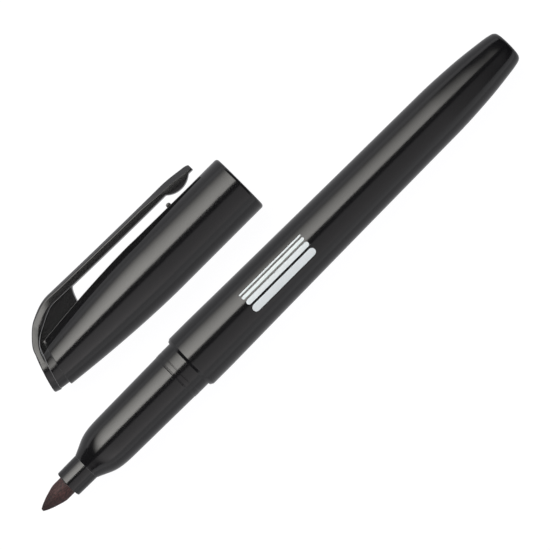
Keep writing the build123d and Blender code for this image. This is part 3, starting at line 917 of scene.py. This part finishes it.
# ---------------------------------------------------------------- cap
@dataclass
class Cap:
    """The cap's body: straight skirt, tapered stretch with a slanting end, pad and grip nub."""

    layout: Layout
    straight: float = 22.35
    taper: float = 27.6
    taper_fall: float = 1.84
    taper_curve: float = 1.7
    wall: float = 1.05
    bore: float = 5.46
    bore_length: float = 21.0
    slant: float = 12.0          # degrees
    mouth_edge: float = 0.60
    mouth_lead: float = 0.15
    end_edge: float = 0.10
    end_stretch: float = 8.0     # its rings turn from the slant to upright over this length
    end_shares: tuple[float, ...] = (
        0.0, 0.003, 0.008, 0.015, 0.024, 0.034, 0.1, 0.2, 0.35, 0.5, 0.7, 0.85, 1.0,
    )
    pad_rise: float = 0.28
    pad_root: float = 6.1
    pad_width: float = 7.4
    pad_tip: float = 5.0
    pad_tip_gap: float = 4.8
    pad_tip_drop: float = 0.15
    pad_edge: float = 0.07
    pad_feet: tuple[float, float] = (0.12, 0.01)       # lowest points of its sides, above the skirt
    pad_seam: float = 0.004      # radians from the pad's foot to the skirt's first point
    nub_from_mouth: float = 13.05
    nub_height: float = 0.65
    nub_length: float = 1.0
    nub_width: float = 3.0
    nub_sunk: float = 0.4        # its foot below the skirt's outside
    nub_edge: float = 0.1        # rounding of its two ends
    nub_round: float = 0.8       # height of its rounded top, as a share of half its length
    top_points: int = 9
    round_points: int = 121
    shoulder: float = field(init=False)
    end: float = field(init=False)

    def __post_init__(self) -> None:
        """Work out the stations of the shoulder and of the closed end."""
        self.shoulder = self.layout.cap_mouth - self.straight
        self.end = self.shoulder - self.taper

    def radius(self, station: float, inset: float = 0.0) -> float:
        """Return the outside radius at a station, less an inset."""
        along = max((self.shoulder - station) / self.taper, 0.0)
        return self.layout.cap_radius - self.taper_fall * along**self.taper_curve - inset

    def pad_top(self, station: float) -> float:
        """Find the height of the pad's flat top.

        Args:
            station: place along the cap.

        Returns:
            Its distance from the cap's axis.
        """
        if station > self.shoulder:
            tip = self.layout.cap_mouth - self.pad_tip_gap
            drop = self.pad_tip_drop * (station - self.shoulder) / (tip - self.shoulder)
            return self.layout.cap_radius - drop
        along = (self.shoulder - station) / self.taper
        return self.radius(station) + self.pad_rise * sqrt(along)

    def pad_half(self, station: float) -> float:
        """Find half the pad's width.

        Args:
            station: place along the cap.

        Returns:
            Half the width there.
        """
        tip = self.layout.cap_mouth - self.pad_tip_gap
        if station > self.shoulder:
            share = min((station - self.shoulder) / (tip - self.shoulder), 1.0)
            return (self.pad_width + (self.pad_tip - self.pad_width) * share) / 2
        share = (self.shoulder - station) / self.taper
        return (self.pad_width + (self.pad_root - self.pad_width) * share) / 2

    def section(self, station: float) -> Outline:
        """Draw the outside of the cap with its pad.

        Args:
            station: place along the cap.

        Returns:
            The section there, as (Y, Z) from the axis.
        """
        radius, top, half, edge = (
            self.radius(station), self.pad_top(station), self.pad_half(station), self.pad_edge,
        )
        side: Outline = []
        for i in range(self.top_points):
            z = (half - edge) * i / (self.top_points - 1)
            side.append((max(top, sqrt(radius**2 - z**2)), z))
        for i in range(1, 4):
            a = pi / 2 * i / 3
            side.append((top - edge * (1 - cos(a)), half - edge * (1 - sin(a))))
        foot = sqrt(radius**2 - half**2)
        side += [(foot + gap, half) for gap in self.pad_feet]
        start = atan2(half, foot) + self.pad_seam
        arc = [
            start + (2 * pi - 2 * start) * i / (self.round_points - 1) for i in range(self.round_points)
        ]
        around = [(radius * cos(a), radius * sin(a)) for a in arc]
        return [*side, *around, *[(y, -z) for y, z in reversed(side[1:])]]

    @property
    def lean(self) -> float:
        """Tangent of the closed end's slant."""
        return tan(radians(self.slant))

    def angles(self, station: float) -> list[float]:
        """Return the direction of each point of the section at a station."""
        return [atan2(z, y) for y, z in self.section(station)]

    def outer_ring(self, share: float, limit: float) -> Ring:
        """Return an outside ring between the slanting end and a station.

        Args:
            share: 0 at the slanting end, 1 at the station.
            limit: that station.

        Returns:
            The ring.
        """
        ring: Ring = []
        for i, (y, z) in enumerate(self.section(self.end + share * (limit - self.end))):
            for _ in range(3):
                edge = self.end + y * self.lean
                station = edge + share * (limit - edge)
                y, z = self.section(station)[i]
            gap = (station - (self.end + y * self.lean)) * cos(radians(self.slant))
            if gap < self.end_edge:
                cut = self.end_edge - sqrt(max(self.end_edge**2 - (self.end_edge - gap) ** 2, 0.0))
                size = hypot(y, z)
                y, z = y * (size - cut) / size, z * (size - cut) / size
            ring.append(self.layout.cap.at(station, y, z))
        return ring

    def round_ring(self, station: float, radius: float, angles: Sequence[float], lean: float = 0.0) -> Ring:
        """Draw a circle about the cap's axis, on a plane that may lean.

        Args:
            station: where the plane crosses the axis.
            radius: the circle's radius.
            angles: direction of each of its points.
            lean: tangent of the plane's lean.

        Returns:
            The circle.
        """
        return [
            self.layout.cap.at(
                station + radius * cos(a) * lean, radius * cos(a), radius * sin(a),
            )
            for a in angles
        ]

    def rings(self) -> list[Ring]:
        """Draw the shell, from its closed end along the outside and back inside.

        Returns:
            Its rings.
        """
        mouth, tip = self.layout.cap_mouth, self.layout.cap_mouth - self.pad_tip_gap
        middle = self.end + self.end_stretch
        rings = [self.outer_ring(share, middle) for share in self.end_shares]
        along = spread(middle, self.shoulder, 12, range(1, 13))
        along += spread(self.shoulder, tip, 8, range(1, 9))
        for station in along:
            rings.append([self.layout.cap.at(station, y, z) for y, z in self.section(station)])
        angles = self.angles(tip)
        radius = self.layout.cap_radius
        rings.append(self.round_ring(tip + 0.04, radius, angles))
        for i in range(9):
            a = pi / 2 * i / 8
            station = mouth - self.mouth_edge * (1 - sin(a))
            rings.append(self.round_ring(station, radius - self.mouth_edge * (1 - cos(a)), angles))
        wall_start = mouth - self.bore_length
        for station, r in (
            (mouth, self.bore + self.mouth_lead), (mouth - self.mouth_lead, self.bore),
            (wall_start, self.bore),
            (wall_start, self.radius(wall_start, self.wall)),
        ):
            rings.append(self.round_ring(station, r, angles))
        for station in spread(wall_start, middle, 10, range(1, 11)):
            rings.append(self.round_ring(station, self.radius(station, self.wall), self.angles(middle)))
        end_radius = self.radius(self.end, self.wall)
        rings.append(self.round_ring(self.end, end_radius, self.angles(self.end), self.lean))
        return rings

    def nub(self) -> Object:
        """Draw the small rounded rib on the pad that the clip's ball works against.

        Returns:
            The rib.
        """
        middle = self.layout.cap_mouth - self.nub_from_mouth
        half, foot = self.nub_length / 2, self.layout.cap_radius - self.nub_sunk
        dome = half * self.nub_round
        rings: list[Ring] = []
        steps = 12
        for i in range(steps + 1):
            z = self.nub_width / 2 * -cos(pi * i / steps)
            edge = min(self.nub_width / 2 - abs(z), self.nub_edge) / self.nub_edge
            lift = sqrt(max(1 - (1 - edge) ** 2, 0.0))
            top = self.layout.cap_radius + self.nub_height * (0.35 + 0.65 * lift)
            width = half * (0.75 + 0.25 * lift)
            points = [(-width, foot), (-width, top - dome)]
            points += [
                (-width * cos(a), top - dome + dome * sin(a))
                for a in spread(0.0, pi, 10, range(1, 10))
            ]
            points += [(width, top - dome), (width, foot)]
            rings.append([self.layout.cap.at(middle + x, y, z) for x, y in points])
        return skin("grip_nub", rings)

    def build(self, finishes: Finishes) -> None:
        """Build the cap's body and dress it with its finish."""
        shell = skin("cap_walls", self.rings(), looped=True)
        dress(join("cap_moulding", [shell, self.nub()]), finishes, Slot.CAP, Body.CAP, ["cap_shell"])


# ---------------------------------------------------------------- clip
@dataclass
class Clip:
    """The clip moulding: plug, recessed neck, end plate, curl-over, gusset, springy arm and ball."""

    cap: Cap
    neck_length: float = 1.78
    neck_front: float = 3.78
    neck_back: float = 4.06
    plate_thickness: float = 1.40
    plate_slant: float = 18.3    # degrees
    plate_radius: float = 4.60
    plate_shift: float = 0.50
    plate_edge: float = 0.30
    thickness: float = 2.05
    level: float = 10.45         # outer face from the cap's axis, along the level half
    arch: float = 0.52
    arch_curve: float = 1.6
    crest_from_end: float = 7.8
    strip_start: float = 1.5     # along the plate, where the strip begins inside it
    curl_outside: Outline = field(default_factory=lambda: [(1.5, 2.25), (4.3, 4.6)])
    curl_inside: Outline = field(default_factory=lambda: [(1.15, 1.45), (3.1, 2.7)])
    nose_knots: Outline = field(default_factory=lambda: [(2.1, 0.26), (0.55, 0.02)])
    level_length: float = 30.0
    root_width: float = 5.6
    tip_width: float = 4.6
    crown: float = 0.85          # outer face falls this much to its sides along the level half
    crown_root: float = 0.32
    crown_ball: float = 0.35
    flare: float = 0.185         # growth of the half-width towards the plate
    flare_from: float = 6.2      # where it starts, along the curl from the crest
    side_lean: float = 14.0      # degrees that the outer part of the side faces leans round the curl
    leaning: float = 0.95        # width of that outer part
    outer_edge: float = 0.40
    flank_lean: float = 70.0     # degrees that the outer face's two flanks turn away from the sides
    ridge_drop: float = 0.08
    ridge_knots: Outline = field(default_factory=lambda: [(0.0, 0.0), (0.5, 0.16), (0.85, 0.62)])
    crown_span: tuple[float, float] = (-3.0, 9.0)      # crown changes here, from the crest to the plate
    ball_span: tuple[float, float] = (-9.0, -3.0)      # and here, from the ball
    lean_spans: tuple[tuple[float, float], tuple[float, float]] = ((-1.0, 5.0), (9.0, 13.0))
    inner_edge: float = 0.20
    tip_drop: float = 0.70
    tip_face: float = 0.95
    tip_sink: float = 0.15       # underside beyond the ball lies this much lower
    tip_narrowing: float = 0.35
    tip_rounding: float = 0.5    # length of the stretch that narrows
    ball_to_tip: float = 4.15
    ball_half: float = 3.1
    ball_drop: float = 1.25
    web_half: float = 1.9
    web_edge: float = 0.16
    web_lip: float = 1.0         # its free edge ends this far before the hinge
    web_toe: float = 1.65        # and starts this far before the hinge's slot
    web_knots: tuple[float, float, float] = (0.66, 1.30, 1.95)
    web_heel: tuple[float, float] = (2.6, 0.2)
    plug_fit: float = 0.03
    plug_length: float = 3.0
    hinge_from_crest: float = 6.0
    bend_length: float = 2.4     # stretch of the arm about the hinge, where a bend would go

    @property
    def crest(self) -> float:
        """Station of the clip's highest point."""
        return self.cap.end + self.crest_from_end

    @property
    def ball(self) -> float:
        """Station of the ball's middle."""
        return self.cap.layout.clip_tip - self.ball_to_tip

    def outer(self, station: float) -> float:
        """Return the outer face from the cap's axis, from the crest to the ball."""
        along = held((station - self.crest) / self.level_length)
        return self.level + self.arch * (1 - along) ** self.arch_curve

    def plate_point(self, along: float, out: float) -> tuple[float, float]:
        """Place a point on the leaning end plate.

        Args:
            along: distance along the plate, towards the clip.
            out: distance outwards from its inner face.

        Returns:
            Its station and its distance from the cap's axis.
        """
        a = radians(self.plate_slant)
        station = self.cap.end - self.neck_length + along * sin(a) - out * cos(a)
        return (station, along * cos(a) + out * sin(a))

    def paths(self) -> tuple[Outline, Outline]:
        """Draw the strip's two faces from the plate to the tip, point by point.

        Returns:
            The outer and the inner face.
        """
        a = radians(self.plate_slant)
        rise = (sin(a), cos(a))
        upper = self.plate_point(self.plate_radius, self.plate_thickness)
        under = self.plate_point(self.plate_radius, -0.05)
        crest = (self.crest, self.level + self.arch)
        inner_crest = (self.crest, crest[1] - self.thickness)
        outer, inner = [], []
        for along in spread(self.strip_start, self.plate_radius, 6, range(6)):
            outer.append(self.plate_point(along, self.plate_thickness - 0.01))
            inner.append(self.plate_point(along, 0.1))
        for face, start, knots, end in (
            (outer, upper, self.curl_outside, crest), (inner, under, self.curl_inside, inner_crest),
        ):
            middle = [(start[0] + along, start[1] + out) for along, out in knots]
            face += flowing([start, *middle, end], rise, (1.0, 0.0))
        ball_start, ball_end = self.ball - self.ball_half, self.ball + self.ball_half
        fall = ball_start + 0.1
        tip, tip_top = self.cap.layout.clip_tip, self.level - self.tip_drop
        nose = flowing(
            [
                (fall, self.outer(fall)), (self.ball - 0.5, self.level - 0.12),
                *((tip - back, tip_top + rise_up) for back, rise_up in self.nose_knots),
                (tip, self.level - self.thickness + self.tip_face),
            ],
            (1.0, 0.0), (0.0, -1.0), 5,
        )
        floor = self.level - self.thickness
        sag = self.ball_drop
        reach = self.ball_half
        curve = (reach**2 + sag**2) / (2 * sag)
        stations = spread(self.crest, ball_start, 26, range(1, 27))
        outer += [(s, self.outer(s)) for s in stations] + nose
        stations += [s for s, _ in nose]
        for s in stations:
            if s < ball_start:
                bottom = self.outer(s) - self.thickness
            else:
                bottom = floor - (self.tip_sink if s > self.ball else 0.0)
            if ball_start < s < ball_end:
                bottom = min(bottom, floor - sag + curve - sqrt(curve**2 - (s - self.ball) ** 2))
            inner.append((s, bottom))
        return outer, inner

    def half_width(self, station: float) -> float:
        """Find half the clip's width.

        Args:
            station: place along the cap.

        Returns:
            Half the width there.
        """
        tip = self.cap.layout.clip_tip
        along = (station - self.cap.end) / (tip - self.cap.end)
        return (self.root_width + (self.tip_width - self.root_width) * along) / 2

    def section_at(self, reach: float, station: float) -> tuple[float, float, float, float]:
        """Return how the strip's section changes along it.

        Args:
            reach: distance along the strip from its crest towards the plate; negative towards the tip.
            station: station of the place.

        Returns:
            How far the outer face falls away to its sides, the rounding between them, how much the
            strip's half-width grows towards the plate, and the tangent of its side faces' lean.
        """
        root = ease(reach, *self.crown_span)
        over_ball = ease(station - self.ball, *self.ball_span)
        crown = self.crown + (self.crown_root - self.crown) * root + self.crown_ball * over_ball
        edge = self.outer_edge * (1 - 0.8 * over_ball)
        flare = self.flare * max(reach - self.flare_from, 0.0)
        gains, fades = self.lean_spans
        lean = tan(radians(self.side_lean)) * ease(reach, *gains) * (1 - ease(reach, *fades))
        return crown, edge, flare, lean

    def half_section(self, half: float, crown: float, edge: float) -> Outline:
        """Return half of the outer face across the strip: low ridge, slanting flank, rounded edge.

        Args:
            half: half the strip's width.
            crown: how far the flank's foot lies below the ridge.
            edge: rounding from the flank to the side.

        Returns:
            Distance from the middle and drop below the ridge of each point.
        """
        edge = min(edge, crown * 0.6)
        ridge = self.ridge_drop
        lean = min(radians(self.flank_lean), atan((half - 0.5) / max(crown - ridge, 0.1)))
        foot = crown - edge * sin(lean)
        top = half - edge * (1 - cos(lean)) - (foot - ridge) * tan(lean)
        points = [(top * across, ridge * down) for across, down in self.ridge_knots]
        points += [
            (top + (foot - ridge) * tan(lean) * share, ridge + (foot - ridge) * share)
            for share in (0.06, 1.0)
        ]
        for step in range(1, 5):
            a = lean * (1 - step / 4)
            points.append((half - edge * (1 - cos(a)), crown - edge * sin(a)))
        return points

    def strip(self) -> Object:
        """Draw the strip that runs from the plate over the curl and along the arm to the tip.

        Returns:
            The strip.
        """
        outer, inner = self.paths()
        rings: list[Ring] = []
        tip = self.cap.layout.clip_tip
        crest = min(range(len(outer)), key=lambda place: abs(outer[place][0] - self.crest))
        for place, (top, bottom) in enumerate(zip(outer, inner)):
            o, i = Vector(top), Vector(bottom)
            down = (i - o).normalized()
            depth = (i - o).length
            run = outer[min(place, crest):max(place, crest) + 1]
            reach = sum(dist(one, two) for one, two in zip(run, run[1:]))
            crown, edge, flare, lean = self.section_at(reach if place < crest else -reach, o.x)
            half = self.half_width((o.x + i.x) / 2) + flare
            half -= self.tip_narrowing * max(1 - (tip - o.x) / self.tip_rounding, 0.0) ** 2
            bevel = self.inner_edge
            crown = min(crown, depth - bevel - 0.05)
            leaning = min(self.leaning, depth - bevel - crown - 0.02)
            side = self.half_section(half - leaning * lean, crown, edge)
            side.append((half, crown + leaning))
            points = [(o + down * drop, z) for z, drop in side]
            points += [
                (i - down * bevel, half), (i - down * bevel * 0.3, half - bevel * 0.3), (i, half - bevel),
                (i, bevel - half), (i - down * bevel * 0.3, bevel * 0.3 - half), (i - down * bevel, -half),
            ]
            points += [(o + down * drop, -z) for z, drop in reversed(side[1:])]
            rings.append(self.cap.layout.cap.section(points))
        return skin("clip_strip", rings)

    def web(self) -> Object:
        """Draw the thin gusset that fills the corner between the clip and the cap.

        Returns:
            The gusset.
        """
        _, inner = self.paths()
        hinge = self.crest + self.hinge_from_crest
        lip = hinge - self.web_lip
        toe = hinge - self.thickness / 2 - self.web_toe
        toe_top, lip_top = self.outer(toe) - self.thickness, self.outer(lip) - self.thickness
        upper = [p for p in inner if p[0] < lip] + [(lip, lip_top)]
        heel = self.plate_point(*self.web_heel)
        low = self.cap.pad_top(toe) - 0.05
        heights = (low + (toe_top - low) * 0.60, toe_top - 0.15, lip_top)
        front = flowing(
            [(toe, low), *((toe + along, height) for along, height in zip(self.web_knots, heights))],
            (0.35, 1.0), (1.0, 0.0), 5,
        )
        count = len(upper) - len(front)
        body_end = self.cap.end + self.cap.pad_top(self.cap.end) * self.cap.lean
        foot = []
        for station in spread(heel[0], toe, count, range(count)):
            sunk = 0.25 if station > body_end + 0.3 else 1.6
            foot.append((station, self.cap.pad_top(station) - sunk))
        lower = [heel, *foot[1:], *front]
        rings: list[Ring] = []
        for index, (top, bottom) in enumerate(zip(upper, lower)):
            bevel = self.web_edge if index >= count else 0.0
            t, b = Vector(top), Vector(bottom)
            lift = (t - b).normalized() if (t - b).length > NOTHING else Vector((0.0, 1.0))
            t = t + Vector((0.0, 0.5))
            points = [
                (t, -self.web_half), (t, self.web_half), (b + lift * bevel, self.web_half),
                (b, self.web_half - bevel), (b, -self.web_half + bevel), (b + lift * bevel, -self.web_half),
            ]
            rings.append(self.cap.layout.cap.section(points))
        return skin("clip_web", rings)

    def plate(self) -> Object:
        """Draw the round end plate, leaning with the cap's end, its edges rounded.

        Returns:
            The plate.
        """
        edge = self.plate_edge
        profile = eased([
            (0.0, 0.0), (0.0, self.plate_radius, 0.04),
            (self.plate_thickness, self.plate_radius, edge), (self.plate_thickness, 0.0),
        ])
        rings: list[Ring] = []
        for out, radius in profile:
            ring: Ring = []
            for a in TURNS if radius > NOTHING else TURNS[:1]:
                station, rise = self.plate_point(self.plate_shift + radius * cos(a), out)
                ring.append(self.cap.layout.cap.at(station, rise, radius * sin(a)))
            rings.append(ring)
        return skin("end_plate", rings)

    def neck(self) -> Object:
        """Draw the recessed ring between the plate and the cap, with the plug inside the cap.

        Returns:
            The neck and the plug.
        """
        lean = tan(radians(self.plate_slant))
        end, plug_end = self.cap.end, self.cap.end + self.plug_length
        inset = self.cap.wall + self.plug_fit
        rings = [self.cap.round_ring(*place) for place in (
            (end - self.neck_length - 0.5, self.neck_front - 0.12, TURNS, lean),
            (end + 0.1, self.neck_back, TURNS, self.cap.lean),
            (end + 0.1, self.cap.radius(end, inset), TURNS, self.cap.lean),
            (plug_end, self.cap.radius(plug_end, inset), TURNS, 0.0),
        )]
        return skin("clip_neck", rings)

    def build(self, finishes: Finishes) -> None:
        """Build and dress the clip; the ends of the arm's bend, where it leaves the gusset, are worked out
        but not used.

        Args:
            finishes: material for each slot.
        """
        clip = join("clip_moulding", [self.strip(), self.web(), self.plate(), self.neck()])
        dress(clip, finishes, Slot.CLIP, stands_for=["clip_base", "clip_arm"])
        hinge = self.crest + self.hinge_from_crest
        height = self.outer(hinge) - self.thickness / 2
        start = self.cap.layout.cap.at(hinge - self.bend_length / 2, height)
        end = self.cap.layout.cap.at(hinge + self.bend_length / 2, height)
        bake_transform(clip)


# ---------------------------------------------------------------- parts inside
@dataclass
class Inside:
    """The parts that stay as the frame has them: fibre core, its film, breather tube and liner."""

    nodes: dict[str, Object]

    def dress(self, finishes: Finishes) -> None:
        """Give each inner part its finish.

        Args:
            finishes: material for each slot.
        """
        slots = {
            "ink_reservoir": Slot.FIBRE,
            "reservoir_film": Slot.FILM,
            "breather_tube": Slot.BREATHER,
            "inner_seal": Slot.LINER,
        }
        for name, slot in slots.items():
            part = self.nodes[name]
            part.visible_glossy = False
            part.data.materials.clear()
            part.data.materials.append(finishes[slot])
            log.info("%s: finished as %s", name, finishes[slot].name)


# ---------------------------------------------------------------- studio
@dataclass
class Studio:
    """Light table, softbox on the cap's side, dim fill on the other, black flag and curtains, long lens."""

    layout: Layout
    view_width: float = 107.0    # mm across the picture, at the height of the pen's axis
    aim_station: float = 64.34
    aim_across: float = 0.36     # towards the cap
    lens: float = 200.0
    sensor: float = 36.0
    clipping: tuple[float, float] = (0.01, 20.0)       # metres
    turn: float = -45.0          # degrees about the vertical
    board_height: float = 760.0
    softbox: tuple[float, float] = (200.0, 2600.0)     # mm from the pen's axis, across
    softbox_middle: float = -150.0                     # along X
    softbox_half: float = 640.0
    softbox_near: float = 6.6    # brightness at the edge nearer the pen
    softbox_far: float = 1.4
    softbox_fade: tuple[float, float] = (0.08, 1.8)    # where its fading starts, and its power
    fill: tuple[float, float] = (-82.0, -1500.0)
    fill_middle: float = -450.0
    fill_half: float = 1200.0
    fill_far: float = 1.55
    fill_near: float = 0.85
    flag_half: float = 2200.0
    flag_gap: float = 5.0        # above the softbox and the fill
    table_half: float = 4000.0
    table_glow: float = 0.985
    sky: str = "#c2c2c4"
    horizon: str = "#f4f4f6"
    ground: str = "#c4c4c6"      # what the gloss sees below the horizon

    def sheet(self, name: str, points: Sequence[Vector], material: Material) -> Object:
        """Make a flat four-cornered sheet of the set.

        Args:
            name: name of the new object.
            points: its corners, in metres.
            material: its finish.

        Returns:
            The sheet.
        """
        mesh = bpy.data.meshes.new(name)
        mesh.from_pydata(points, [], [(0, 1, 2, 3)])
        mesh.materials.append(material)
        obj = bpy.data.objects.new(name, mesh)
        bpy.context.scene.collection.objects.link(obj)
        return obj

    def board(self, name: str, across: tuple[float, float], along: tuple[float, float], height: float,
              material: Material, mirrored: bool = True) -> None:
        """Set a flat board level over the table, parallel to the pen.

        Args:
            name: name of the new object.
            across: Y of its two long edges, from the pen's axis, in millimetres.
            along: X of its middle and half its length.
            height: height above the table.
            material: its finish.
            mirrored: whether it shows in the marker's gloss, and then hangs out of the camera's sight.
        """
        y, (middle, half) = self.layout.pen.across, along
        points = [Vector((middle + side * half, y + edge, height)) * MM for side, edge in (
            (-1, across[0]), (-1, across[1]), (1, across[1]), (1, across[0]),
        )]
        obj = self.sheet(name, points, material)
        obj.visible_glossy = mirrored
        obj.visible_camera = not mirrored

    def curtain(self, name: str, station: float, cloth: Material) -> None:
        """Hang a dark curtain across one end of the set, seen only in the gloss.

        Args:
            name: name of the new object.
            station: where it hangs.
            cloth: its finish.
        """
        near, far = self.fill[1], self.softbox[1]
        points = [self.layout.pen.at(station, side, up) for side, up in (
            (near, 0.0), (far, 0.0), (far, self.board_height), (near, self.board_height),
        )]
        obj = self.sheet(name, points, cloth)
        obj.visible_camera = False
        obj.visible_diffuse = False

    def build_set(self) -> None:
        """Set up the table, the boards over it and the curtains."""
        opal, tree = new_material("backlit opal acrylic")
        shader = add_node(
            tree, "ShaderNodeBsdfPrincipled",
            inputs={
                "Base Color": to_linear("#484848"), "Roughness": 0.9, "Specular IOR Level": 0.0,
                "Emission Color": to_linear("#fefeff"), "Emission Strength": self.table_glow,
            },
        )
        finish_surface(tree, shader)
        black, tree = new_material("black velvet flag")
        shader = add_node(
            tree, "ShaderNodeBsdfPrincipled",
            inputs={"Base Color": to_linear("#0a0a0a"), "Roughness": 1.0, "Specular IOR Level": 0.0},
        )
        finish_surface(tree, shader)
        table, high = self.table_half, self.board_height
        softbox = StudioCard(
            "softbox cloth", "#fffdf8", self.softbox_near, self.softbox_far, *self.softbox_fade,
        ).make()
        fill = StudioCard("fill cloth", "#fbf7f8", self.fill_far, self.fill_near).make()
        self.board("table", (table, -table), (0.0, table), 0.0, opal, mirrored=False)
        self.board("softbox", self.softbox, (self.softbox_middle, self.softbox_half), high, softbox)
        self.board("fill", self.fill, (self.fill_middle, self.fill_half), high, fill)
        over = high + self.flag_gap
        self.board("flag", (self.fill[1], self.softbox[1]), (0.0, self.flag_half), over, black)
        self.curtain("front_curtain", -self.flag_half, black)
        self.curtain("back_curtain", self.flag_half, black)

    def build_surround(self) -> None:
        """Light the set from all round: dim overhead and pale at the horizon."""
        world = bpy.data.worlds.new("studio surround")
        bpy.context.scene.world = world
        world.use_nodes = True
        tree = world.node_tree
        tree.nodes.clear()
        place = add_node(tree, "ShaderNodeTexCoord")
        axes = add_node(tree, "ShaderNodeSeparateXYZ", {"Vector": place.outputs["Generated"]})
        rise = add_node(
            tree, "ShaderNodeMapRange", {"Value": axes.outputs["Z"]}, {"From Min": -1.0, "From Max": 1.0},
        )
        height = add_node(tree, "ShaderNodeValToRGB", {"Fac": rise.outputs["Result"]})
        set_ramp(height, (0.49, self.ground), (0.5, self.horizon), (0.875, self.sky))
        light = add_node(tree, "ShaderNodeBackground", {"Color": height.outputs["Color"]}, {"Strength": 1.0})
        add_node(tree, "ShaderNodeOutputWorld", {"Surface": light.outputs["Background"]})

    def build_camera(self) -> None:
        """Look straight down on the pen with a long lens, the pen running to the upper right."""
        camera = bpy.data.cameras.new("camera")
        camera.lens = self.lens
        camera.sensor_width = self.sensor
        camera.clip_start, camera.clip_end = self.clipping
        obj = bpy.data.objects.new("camera", camera)
        bpy.context.scene.collection.objects.link(obj)
        away = self.view_width * self.lens / self.sensor
        obj.location = self.layout.pen.at(self.aim_station, self.aim_across, away)
        obj.rotation_euler = (0.0, 0.0, radians(self.turn))
        bpy.context.scene.camera = obj

    def build(self) -> None:
        """Set up the table, the lights and the camera, and show colours as they are lit."""
        self.build_set()
        self.build_surround()
        self.build_camera()
        bpy.context.scene.view_settings.view_transform = "Standard"
        log.info("studio: table, softbox, flag, surround and camera")


def make_finishes() -> Finishes:
    """Make each slot's material.

    Returns:
        The materials by slot.
    """
    return {
        Slot.BARREL: MouldedPolypropylene("moulded black polypropylene, barrel").make(),
        Slot.SECTION: MouldedPolypropylene("moulded black polypropylene, nose", ripple=1.8).make(),
        Slot.CAP: MouldedPolypropylene("moulded black polypropylene, cap").make(),
        Slot.CLIP: MouldedPolypropylene("moulded black polypropylene, clip", roughness=0.22).make(),
        Slot.FELT: FibreStock("pressed polyester felt, inked", "#221416", "#523231").make(),
        Slot.FIBRE: FibreStock("bonded polyester fibre, inked", "#1c1418", "#3a2a30").make(),
        Slot.FILM: SoftPolyethylene("wound polypropylene film", "#dcdcd6", 0.25, see_through=0.5).make(),
        Slot.BREATHER: SoftPolyethylene("extruded white polyethylene", "#e2e2dd").make(),
        Slot.LINER: SoftPolyethylene("soft moulded polyethylene", "#232325").make(),
        Slot.PRINT: PadPrint().make(),
    }


def main() -> None:
    """Build the marker's pieces over the frame, dress them and set up the studio."""
    logging.basicConfig(level=logging.INFO, format="%(message)s")
    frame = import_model()
    layout = Layout.measure()
    finishes = make_finishes()
    Pen(layout).build(finishes)
    cap = Cap(layout)
    cap.build(finishes)
    Clip(cap).build(finishes)
    Inside(frame["nodes"]).dress(finishes)
    Studio(layout).build()


if __name__ == "__main__":
    main()
